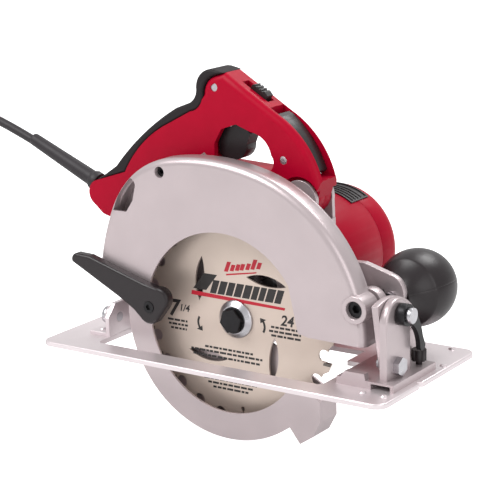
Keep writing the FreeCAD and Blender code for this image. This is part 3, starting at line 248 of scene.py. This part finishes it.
# %% Plastics and rubber
crimson_nylon = finish("crimson_glass_filled_nylon", "A50226", 0.38, ior=1.53, second="980122",
                       grain_mm=0.7, bump=0.10, gloss=0.09)
black_nylon = finish("black_glass_filled_nylon", "1B1517", 0.36, ior=1.53, second="231C1F",
                     grain_mm=0.8, bump=0.16, gloss=0.34)
grip_rubber = finish("overmoulded_grip_rubber", "1D191B", 0.6, ior=1.52, second="262123",
                     grain_mm=1.0, bump=0.3, gloss=0.2)
lead_rubber = finish("rubber_sheathed_lead", "2E2A2D", 0.5, ior=1.52, second="262225",
                     grain_mm=0.6, bump=0.12, gloss=0.3)
print("plastics ready")

# %% [markdown]
# ## Cast and pressed alloy
# The guards are die-cast magnesium under a silver lacquer: a warm light grey, more satin than shiny.
# The shoe is bare rolled aluminium and a little brighter.

# %% Alloys and steels
silver_lacquer = finish("silver_lacquered_magnesium", "BEB1B3", 0.34, metallic=0.6, second="B3A7A9",
                        spread_mm=30, grain_mm=0.9, bump=0.12)
rolled_aluminium = finish("rolled_aluminium", "E0D6D8", 0.32, metallic=0.6, second="D4CACD",
                          spread_mm=25, grain_mm=0.6, bump=0.08)
zinc_steel = finish("zinc_plated_steel", "C3C2C6", 0.28, metallic=1.0, second="B2B0B4",
                    spread_mm=6, bump=0.05)
black_oxide = finish("black_oxide_steel", "2B2A2C", 0.38, metallic=0.7, second="1F1E20",
                     spread_mm=6, bump=0.08)
enamelled_copper = finish("enamelled_copper", "A8653B", 0.35, metallic=0.9, second="8E4F2C",
                          spread_mm=3, bump=0.2)
brush_carbon = finish("brush_carbon", "202022", 0.7, second="2A2A2C", spread_mm=2)
print("metals ready")

# %% [markdown]
# ## Ground saw steel
# The blade's plate is ground while it spins, so faint rings run round the arbor. A wave texture can
# draw them, as cylinders round the spindle's axis, which cut the flat plate in circles.

# %% Ground saw steel
ARBOR = Vector((0, 0, 0.030))
RING_MM = 5.655
WAVE_TURN = 20 / (2 * math.pi)       # waves that the texture draws per unit of its scale


def make_saw_steel():
    material = finish("ground_saw_steel", "D3C3B8", 0.40, metallic=0.55, second="C4B4A9",
                      spread_mm=40, bump=0.0)
    tree = material.node_tree
    shader = tree.nodes["Principled BSDF"]
    where = add(tree, "ShaderNodeTexCoord")
    centred = add(tree, "ShaderNodeMapping", {"Location": -ARBOR}, Vector=where.outputs["Object"])
    rings = add(tree, "ShaderNodeTexWave", {
        "wave_type": "RINGS", "rings_direction": "Y", "Scale": per_metre(RING_MM) / WAVE_TURN,
        "Distortion": 1.5, "Detail": 3.0, "Detail Scale": 4.0}, Vector=centred.outputs["Vector"])
    relief = add(tree, "ShaderNodeBump", {"Strength": 0.12, "Distance": 0.1 * MM}, Height=rings.outputs["Fac"])
    tree.links.new(relief.outputs["Normal"], shader.inputs["Normal"])
    return material


saw_steel = make_saw_steel()
carbide = finish("brazed_carbide", "77706C", 0.3, metallic=0.9, second="5F5955", spread_mm=3)
print("saw steel ready")

# %% [markdown]
# ## Dressing the engineering parts
# A moulding or casting never has a knife edge, and light catches the small radius. The parts keep
# their mesh; a weld joins the facets, a bevel rounds the sharp edges, and smooth shading hides the
# facets of the round faces.

# %% Dress every part
BY_SLOT = {
    "red_plastic": (crimson_nylon, 0.9), "black_plastic": (black_nylon, 0.7),
    "black_rubber": (lead_rubber, 0.5), "cast_alloy": (silver_lacquer, 0.6),
    "shoe_alloy": (rolled_aluminium, 0.5), "blade_steel": (saw_steel, 0.0),
    "bright_steel": (zinc_steel, 0.25), "dark_steel": (black_oxide, 0.35),
    "copper": (enamelled_copper, 0.2), "carbon": (brush_carbon, 0.2),
}
SLOT_OF = {entry["node"]: entry["material_slot"] for entry in frame["record"]["subparts"]}
WELD_GAP = 0.005 * MM
SHARP = math.radians(40)
GRIP_EDGE = 2.4 * MM


def dress(thing, material, edge_mm):
    """Give a part its finish and its small edge radius."""
    if not thing.material_slots:
        thing.data.materials.append(material)
    for slot in thing.material_slots:
        slot.material = material
    weld = thing.modifiers.new("weld", "WELD")
    weld.merge_threshold = WELD_GAP
    if edge_mm:
        bevel = thing.modifiers.new("edge", "BEVEL")
        bevel.width = edge_mm * MM
        bevel.segments = 2
        bevel.limit_method = "ANGLE"
        bevel.angle_limit = SHARP
        bevel.harden_normals = True


for node_name, thing in frame["nodes"].items():
    material, edge = BY_SLOT[SLOT_OF[node_name]]
    dress(thing, material, edge)
cover = frame["nodes"]["grip_cover"]
for slot in cover.material_slots:
    slot.material = grip_rubber
cover.modifiers["edge"].width = GRIP_EDGE
cover.modifiers["edge"].segments = 4
print("dressed", len(frame["nodes"]), "parts")

# %% [markdown]
# ## Thin plates and prisms
# Ink and carbide are flat shapes with a thickness. One helper turns closed outlines drawn in the
# blade's plane, X across and Z up, into prisms between two depths along Y. Another turns any closed
# mesh's faces outwards, gives it its finish and lets it ride on a body.

# %% Prism helper
def polar(radius_mm, degrees, centre=ARBOR):
    """Point in the blade's plane, in metres."""
    t = math.radians(degrees)
    return (centre.x + radius_mm * MM * math.cos(t), centre.z + radius_mm * MM * math.sin(t))


def closed_piece(name, points, faces, material, body):
    """Closed mesh with its faces outwards and its finish on, riding on a body."""
    made = mesh_object(name, points, faces)
    shell = bmesh.new()
    shell.from_mesh(made.data)
    bmesh.ops.recalc_face_normals(shell, faces=shell.faces)
    shell.to_mesh(made.data)
    shell.free()
    made.data.materials.append(material)
    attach(made, body)


def prisms(name, outlines, near, far, material, body):
    """Closed prisms over each outline, in one object that rides on a body."""
    points, faces = [], []
    for outline in outlines:
        first, count = len(points), len(outline)
        points += [(x, near, z) for x, z in outline] + [(x, far, z) for x, z in outline]
        faces.append(tuple(first + i for i in range(count)))
        faces.append(tuple(first + count + i for i in reversed(range(count))))
        for i in range(count):
            j = (i + 1) % count
            faces.append((first + j, first + i, first + count + i, first + count + j))
    closed_piece(name, points, faces, material, body)


# %% [markdown]
# ## Carbide tips
# Each tooth carries a small plate of tungsten carbide brazed to its face, a little wider than the
# steel so that the cut clears the plate. Twenty-four come from one outline turned round the arbor.

# %% Carbide tips
TEETH = 24
TIP_RADIUS = 91.9
TIP_HALF_WIDTH = 1.25 * MM
# Radius and angle of the cutting edge, the two corners at the root, and the back of the top.
TIP_CORNERS = ((TIP_RADIUS, -0.05), (85.3, -0.95), (84.9, -2.7), (TIP_RADIUS - 0.5, -1.75))

tip_outlines = [[polar(r, 360 / TEETH * i + d) for r, d in TIP_CORNERS] for i in range(TEETH)]
prisms("carbide_tips", tip_outlines, -TIP_HALF_WIDTH, TIP_HALF_WIDTH, carbide, "blade_spindle")
print(TEETH, "tips")

# %% [markdown]
# ## Ink on the blade
# The print is screen ink a few hundredths of a millimetre thick. The maker's words are left out. A line
# of black blocks with a taller one first, red blocks that climb over a stroke, and a tapered red
# underline keep the balance of the design, and rows of short strokes stand for the small print. Only
# the size and the number of teeth stay as figures.

# %% Ink on the blade
black_ink = finish("black_screen_ink", "1E1B1B", 0.5, second="262222", spread_mm=4)
red_ink = finish("red_screen_ink", "B5122B", 0.5, second="A50F26", spread_mm=4)
INK_FACE = -0.9 * MM
INK_THICK = 0.05 * MM
INK_FRONT = INK_FACE - INK_THICK
# Height of each row of small print, and where it starts and ends: below the arbor, then right and left.
PRINT_ROWS = (
    (1.5, -32, 16), (-2, -46, 24), (-6, -44, 22), (-14, -44, 22), (-18, -42, 22), (-21.5, -38, 20),
    (-25, -34, 18), (-28.5, -30, 14), (-32, -25, 10), (27.5, 33, 60), (24, 31, 61), (20.5, 33, 61),
    (19.5, -69, -49), (16, -68, -48), (12.5, -66, -50))


def in_metres(corners):
    return [(x * MM, z * MM) for x, z in corners]


def slanted(x0, x1, z0, z1, lean=0.25):
    """Parallelogram that leans like an italic letter; sizes in millimetres."""
    shift = lean * (z1 - z0)
    return in_metres(((x0, z0), (x1, z0), (x1 + shift, z1), (x0 + shift, z1)))


def small_print():
    """Rows of short strokes, with a seed so that they fall the same way each time."""
    dice = random.Random(7)
    tall, gap = 1.8, 0.9
    strokes = []
    for z, x0, x1 in PRINT_ROWS:
        x = x0
        while x < x1 - 1:
            width = min(dice.uniform(2.2, 6.5), x1 - x)
            strokes.append(slanted(x, x + width, z, z + tall, lean=0.1))
            x += width + gap
    return strokes


def bold_band():
    """Black italic blocks of unequal width in one line, with a taller one first."""
    dice = random.Random(3)
    low, high, gap = 48.2, 59.5, 1.2
    blocks = [slanted(-42, -29, 50, 64, lean=0.8)]
    x = -25.5
    while x < 40:
        width = dice.uniform(5.5, 8)
        blocks.append(slanted(x, x + width, low, high, lean=0.35))
        x += width + gap
    return blocks


def red_mark():
    """Red italic blocks that climb to the right, over one long stroke."""
    slope = math.tan(math.radians(11))
    start, base, width, tall, short = -11, 68, 3.8, 8.5, 5.5
    blocks = []
    for left in (start, -5.5, -0.5, 4, 9.5, 14.5, 20):
        low = base + slope * (left - start)
        high = low + (tall if left in (start, 14.5) else short)
        blocks.append(slanted(left, left + width, low, high, lean=0.4))
    stroke = in_metres(((-9, 64.8), (20, 70.2), (20.6, 71.4), (-9, 66.2)))
    return blocks + [stroke]


def turn_arrow(middle, side):
    """Arrow that shows which way the blade turns."""
    centre = Vector((middle[0] * MM, 0, middle[1] * MM))
    swing = range(-35, 36, 10)
    ring = [polar(9, side + d, centre) for d in swing] + [polar(7, side + d, centre) for d in reversed(swing)]
    head = [polar(r, side + d, centre) for r, d in ((11.5, 33), (8, 62), (4.8, 33))]
    return [ring, head]


prisms("black_print", bold_band() + small_print() + turn_arrow((-30, 22), 180) + turn_arrow((19, 27), 0),
       INK_FRONT, INK_FACE, black_ink, "blade_spindle")
underline = in_metres(((-44, 44.6), (46, 43.4), (47, 45.6), (-43.5, 48.2)))
prisms("red_print", red_mark() + [underline], INK_FRONT, INK_FACE, red_ink, "blade_spindle")


def figure(text, at, height):
    """Printed figures as a thin mesh, drawn bold by an offset of their outline."""
    half_thick, bold, middle = 0.02 * MM, 0.025, INK_FACE - 0.03 * MM
    data = bpy.data.curves.new("figure", "FONT")
    data.body = text
    data.size = height * MM
    data.extrude = half_thick
    data.offset = bold * height * MM
    data.shear = 0.2
    stamp = new_object("stamp", data)
    stamp.rotation_euler.x = math.radians(90)
    stamp.location = (at[0] * MM, middle, at[1] * MM)
    bpy.context.view_layer.update()
    mesh = bpy.data.meshes.new_from_object(stamp.evaluated_get(bpy.context.evaluated_depsgraph_get()))
    mesh.transform(stamp.matrix_world)
    bpy.data.objects.remove(stamp)
    made = new_object("figure_" + text.replace("/", "_"), mesh)
    made.data.materials.clear()
    made.data.materials.append(black_ink)
    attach(made, "blade_spindle")


figure("24", (42, 31), 12)
figure("7", (-68, 24), 20)
figure("1/4", (-57, 29), 8)
print("ink laid on")

# %% [markdown]
# ## Scale marks
# The bevel quadrant carries a short stamped mark every five degrees, read against the upright.

# %% Bevel marks
BEVEL_AXIS = Vector((0, -0.010, 0.018))
FIRST_MARK, MARK_STEP, MARKS = 35, 5, 11
LONG_START, SHORT_START, MARK_END = 45.8, 47.5, 50.5
MARK_HALF_WIDTH = 0.25
marks, mark_faces = [], []
face_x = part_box("bevel_yoke")[1][0]
for step in range(MARKS):
    turn = math.radians(FIRST_MARK + MARK_STEP * step)
    inner = SHORT_START if step % 2 else LONG_START
    along_mark = Vector((0, math.cos(turn), math.sin(turn)))
    across = Vector((0, -math.sin(turn), math.cos(turn))) * MARK_HALF_WIDTH * MM
    base = len(marks)
    for depth in (face_x, face_x + INK_THICK):
        for radius, side in ((inner, -1), (MARK_END, -1), (MARK_END, 1), (inner, 1)):
            marks.append(Vector((depth, 0, 0)) + BEVEL_AXIS + along_mark * radius * MM + across * side)
    mark_faces += [tuple(base + i for i in quad) for quad in (
        (0, 1, 2, 3), (7, 6, 5, 4), (0, 4, 5, 1), (1, 5, 6, 2), (2, 6, 7, 3), (3, 7, 4, 0))]
bevel_marks = mesh_object("bevel_marks", marks, mark_faces)
bevel_marks.data.materials.append(black_ink)
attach(bevel_marks, "bevel_frame")
print(MARKS, "bevel marks")

# %% [markdown]
# ## Vent grille
# Air for the motor is drawn in through a moulded black grille let into the top of the housing. Its
# frame and bars follow the housing's curve, so each one is a block bent round the housing's axis. The
# black plate under the bars is painted shade: a dark sheet where the open slots would show the shadow inside.

# %% Vent grille
MOTOR_AXIS = Vector((0.0245, 0, 0.069))


def bent_blocks(name, blocks, material, body):
    """Blocks given as (inner radius, outer radius, first angle, last angle, near y, far y)."""
    facet = 3        # degrees
    points, faces = [], []
    for r0, r1, a0, a1, y0, y1 in blocks:
        steps = max(2, int((a1 - a0) / facet) + 1)
        first = len(points)
        for i in range(steps + 1):
            turn = a0 + (a1 - a0) * i / steps
            for r in (r0, r1):
                x, z = polar(r, turn, MOTOR_AXIS)
                points += [(x, y0 * MM, z), (x, y1 * MM, z)]
        for i in range(steps):
            p, q = first + 4 * i, first + 4 * (i + 1)
            faces += [(p, q, q + 1, p + 1), (p + 2, p + 3, q + 3, q + 2),
                      (p, p + 2, q + 2, q), (p + 1, q + 1, q + 3, p + 3)]
        last = first + 4 * steps
        faces += [(first, first + 1, first + 3, first + 2), (last, last + 2, last + 3, last + 1)]
    closed_piece(name, points, faces, material, body)


FIRST, LAST = 56, 92                 # degrees round the motor's axis
NEAR, FAR = 90, 117                  # along Y, in millimetres like the radii
SKIN, SUNK = 52.0, 51.9
SHADE_PLATE_TOP, BAR_TOP, RIM_TOP = 52.15, 52.8, 53.0
RIM = 1.6                            # degrees at the sides, millimetres at the ends
BAR = 1.5
inside = (FIRST + RIM, LAST - RIM)
# Painted shade: the black plate under the bars stands in for the shadow inside the vent openings.
painted_shade_plate = [(SUNK, SHADE_PLATE_TOP, FIRST, LAST, NEAR, FAR)]
rim = [(SUNK, RIM_TOP, *part) for part in (
    (FIRST, FIRST + RIM, NEAR, FAR), (LAST - RIM, LAST, NEAR, FAR),
    (*inside, NEAR, NEAR + RIM), (*inside, FAR - RIM, FAR))]
bars = [(SKIN, BAR_TOP, *inside, y, y + BAR) for y in (95, 99.5, 104, 108.5)]
bent_blocks("vent_grille", painted_shade_plate + rim + bars, black_nylon, "saw_body")
print("grille set in")

# %% [markdown]
# ## The lead
# Nearly three metres of 8 mm rubber lead leave the handle through the strain relief. It bows out and falls
# under its own weight, and the length that the saw does not need is wound into one neat coil.

# %% The lead
LEAD_RADIUS = 0.004
RELIEF_ROOT = Vector((-0.152, 0.028, 0.117))
RELIEF_ANGLE = math.radians(155.7)
RELIEF_WAY = Vector((math.cos(RELIEF_ANGLE), 0, math.sin(RELIEF_ANGLE)))
RELIEF_LENGTH = 0.118
COIL = Vector((-0.354, 0.010, FLOOR))
COIL_RADIUS = 0.0435                 # of the middle ring of turns
COIL_STEPS = 14
STEP_OVER = 0.7                      # part of a turn after which the lead moves to the next ring
FREE_RUN = [Vector(p) * MM for p in (
    (-318, 29, 174), (-360, 34, 134), (-384, 46, 79), (-393, 58, 20), (-396, 62, -30), (-398, 16, -54))]


def coil_points():
    """Turns of the coil from the outside entry point inwards and down, a diameter apart."""
    points = []
    pitch = 2 * LEAD_RADIUS
    lift, settle = 1.02 * LEAD_RADIUS, 0.99      # clear of the floor, and pressed together a little
    turns = [(r, h) for h in (2, 1, 0) for r in ((1, 0, -1) if h % 2 == 0 else (-1, 0, 1))]
    for turn, (r, h) in enumerate(turns):
        after = turns[min(turn + 1, len(turns) - 1)]
        for i in range(COIL_STEPS):
            t = i / COIL_STEPS
            ease = max(0.0, (t - STEP_OVER) / (1 - STEP_OVER))
            radius = COIL_RADIUS + pitch * (r + (after[0] - r) * ease)
            height = lift + pitch * settle * (h + (after[1] - h) * ease)
            angle = math.pi + 2 * math.pi * t
            points.append(COIL + Vector((radius * math.cos(angle), radius * math.sin(angle), height)))
    return points


def spline_curve(name, points, radius):
    """Round cord along a smooth curve that its points pull on."""
    data = bpy.data.curves.new(name, "CURVE")
    data.dimensions = "3D"
    data.bevel_depth = radius
    data.bevel_resolution = 5
    data.use_fill_caps = True
    spline = data.splines.new("NURBS")
    spline.points.add(len(points) - 1)
    for knot, point in zip(spline.points, points):
        knot.co = (*point, 1)
    spline.order_u = 3
    spline.use_endpoint_u = True
    spline.resolution_u = 8
    return new_object(name, data)


lead_points = [RELIEF_ROOT, RELIEF_ROOT + RELIEF_WAY * RELIEF_LENGTH] + FREE_RUN + coil_points()
lead = spline_curve("lead", lead_points, LEAD_RADIUS)
lead.data.materials.append(lead_rubber)
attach(lead, "handle")
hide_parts("power_cord", "cord_coil")
length = sum((q - p).length for p, q in zip(lead_points, lead_points[1:]))
print("lead runs about", round(length, 2), "m")
